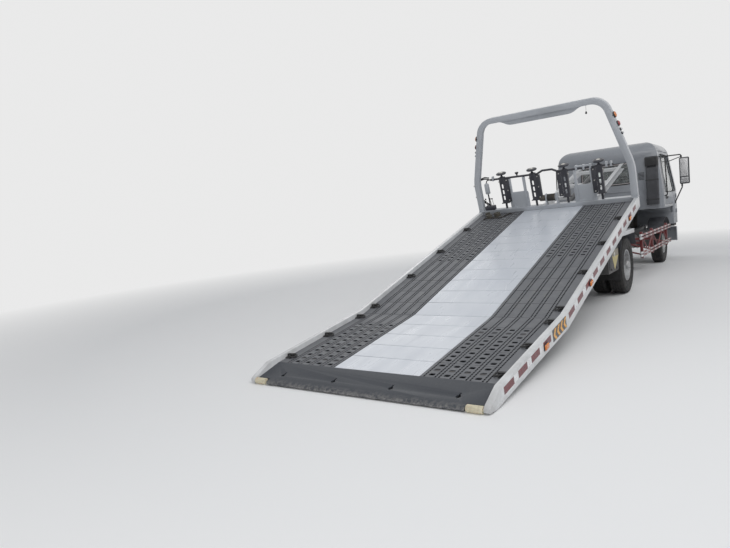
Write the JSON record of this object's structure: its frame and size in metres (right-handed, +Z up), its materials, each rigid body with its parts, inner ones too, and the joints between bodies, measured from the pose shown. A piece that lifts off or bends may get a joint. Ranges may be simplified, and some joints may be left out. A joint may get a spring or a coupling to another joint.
{
  "type": "flatbed tow truck",
  "caption": "Cab-over rollback recovery truck: bed slid back and tilted with its tail on the ground, arch at the bed front, slotted wheel tracks, twin rear wheels.",
  "frame": {"origin": "on the ground, at the middle of the truck's length and width as it stands with the bed down", "axes": "+X towards the cab's front, +Y to the driver's left, +Z up"},
  "size_m": [9.9291, 2.46, 2.6708],
  "materials": {
    "white_paint": "semi-gloss white enamel",
    "silver_paint": "silver-white enamel",
    "cab_paint": "blue-grey enamel",
    "chassis_black": "satin black",
    "deck_white": "worn white paint",
    "deck_grey": "dark grey paint",
    "frame_red": "dark red paint",
    "cast_metal": "dark casting",
    "chrome_rod": "hard chrome",
    "rim_paint": "dull silver",
    "tyre": "matt",
    "nylon": "cream nylon",
    "black_plastic": "grained",
    "lamp_lens": "amber and red lenses",
    "head_lens": "clear lens",
    "window": "tinted",
    "seat_fabric": "woven"
  },
  "bodies": {
    "chassis": {"chassis_frame": "chassis_black", "subframe": "chassis_black", "front_axle": "chassis_black", "rear_axle": "cast_metal", "drive_line": "cast_metal", "engine_block": "cast_metal", "fuel_tank": "chassis_black", "battery_box": "chassis_black", "side_guards": "frame_red", "mudguards": "white_paint", "toolboxes": "white_paint", "rear_lamp_bar": "chassis_black", "front_bumper": "cab_paint"},
    "tilt_frame": {"tilt_frame": "white_paint", "slide_barrel": "chassis_black"},
    "bed": {"deck_centre": "deck_white", "deck_track_left": "deck_grey", "deck_track_right": "deck_grey", "bed_frame": "silver_paint", "slide_hooks": "chassis_black", "side_rails": "white_paint", "tail_lip": "deck_grey", "tail_rollers": "nylon", "arch": "silver_paint", "racks": "silver_paint", "stowed_posts": "chassis_black", "winch": "chassis_black", "lashing_eyes": "chassis_black", "bed_lamps": "lamp_lens", "slide_rod": "chrome_rod"},
    "lift_barrels": {"lift_barrels": "chassis_black"},
    "lift_rods": {"lift_rods": "chrome_rod"},
    "cab": {"cab_shell": "cab_paint", "cab_glass": "window", "dashboard": "black_plastic", "seats": "seat_fabric", "grille": "black_plastic", "headlamps": "head_lens", "intake_duct": "black_plastic"},
    "door_left": {"door_left": "cab_paint", "door_glass_left": "window", "mirror_left": "black_plastic"},
    "door_right": {"door_right": "cab_paint", "door_glass_right": "window", "mirror_right": "black_plastic"},
    "knuckle_left": {"knuckle_left": "cast_metal"},
    "knuckle_right": {"knuckle_right": "cast_metal"},
    "wheel_front_left": {"tyre_front_left": "tyre", "rim_front_left": "rim_paint"},
    "wheel_front_right": {"tyre_front_right": "tyre", "rim_front_right": "rim_paint"},
    "wheels_rear_left": {"tyres_rear_left": "tyre", "rims_rear_left": "rim_paint"},
    "wheels_rear_right": {"tyres_rear_right": "tyre", "rims_rear_right": "rim_paint"}
  },
  "joints": [
    {"name": "bed_tilt", "type": "hinge", "parent": "chassis", "child": "tilt_frame", "pos_m": [-0.86544, 0, 0.75], "axis": [0, 1, 0], "range_deg": [0, 15.8]},
    {"name": "bed_slide", "type": "slide", "parent": "tilt_frame", "child": "bed", "axis": [0.9622, 0, 0.2723], "range_m": [0, 2.86]},
    {"name": "lift_barrel_swing", "type": "hinge", "parent": "chassis", "child": "lift_barrels", "pos_m": [-0.36544, 0, 0.52], "axis": [0, 1, 0], "range_deg": [0, 23.46]},
    {"name": "lift_rod_stroke", "type": "slide", "parent": "lift_barrels", "child": "lift_rods", "axis": [0.7683, 0, 0.6401], "range_m": [-0.1273, 0]},
    {"name": "cab_tilt", "type": "hinge", "parent": "chassis", "child": "cab", "pos_m": [4.85456, 0, 0.715], "axis": [0, 1, 0], "range_deg": [0, 40]},
    {"name": "door_left_swing", "type": "hinge", "parent": "cab", "child": "door_left", "pos_m": [4.70056, 0.972, 1.1], "axis": [0, 0, -1], "range_deg": [0, 70]},
    {"name": "door_right_swing", "type": "hinge", "parent": "cab", "child": "door_right", "pos_m": [4.70056, -0.972, 1.1], "axis": [0, 0, 1], "range_deg": [0, 70]},
    {"name": "steer_left", "type": "hinge", "parent": "chassis", "child": "knuckle_left", "pos_m": [3.88456, 0.61, 0.388], "axis": [0, 0, 1], "range_deg": [-35, 35]},
    {"name": "steer_right", "type": "hinge", "parent": "chassis", "child": "knuckle_right", "pos_m": [3.88456, -0.61, 0.388], "axis": [0, 0, 1], "range_deg": [-35, 35]},
    {"name": "front_wheel_left", "type": "hinge", "parent": "knuckle_left", "child": "wheel_front_left", "pos_m": [3.88456, 0.752, 0.388], "axis": [0, 1, 0], "continuous": true},
    {"name": "rear_wheels_left", "type": "hinge", "parent": "chassis", "child": "wheels_rear_left", "pos_m": [0.13456, 0.7525, 0.388], "axis": [0, 1, 0], "continuous": true},
    {"name": "front_wheel_right", "type": "hinge", "parent": "knuckle_right", "child": "wheel_front_right", "pos_m": [3.88456, -0.752, 0.388], "axis": [0, 1, 0], "continuous": true},
    {"name": "rear_wheels_right", "type": "hinge", "parent": "chassis", "child": "wheels_rear_right", "pos_m": [0.13456, -0.7525, 0.388], "axis": [0, 1, 0], "continuous": true}
  ],
  "couplings": [
    {"joint": "lift_barrel_swing", "follows": "bed_tilt", "ratio": 1.4844},
    {"joint": "lift_rod_stroke", "follows": "bed_tilt", "m_per_rad": -0.45973},
    {"joint": "steer_right", "follows": "steer_left", "ratio": 1}
  ]
}
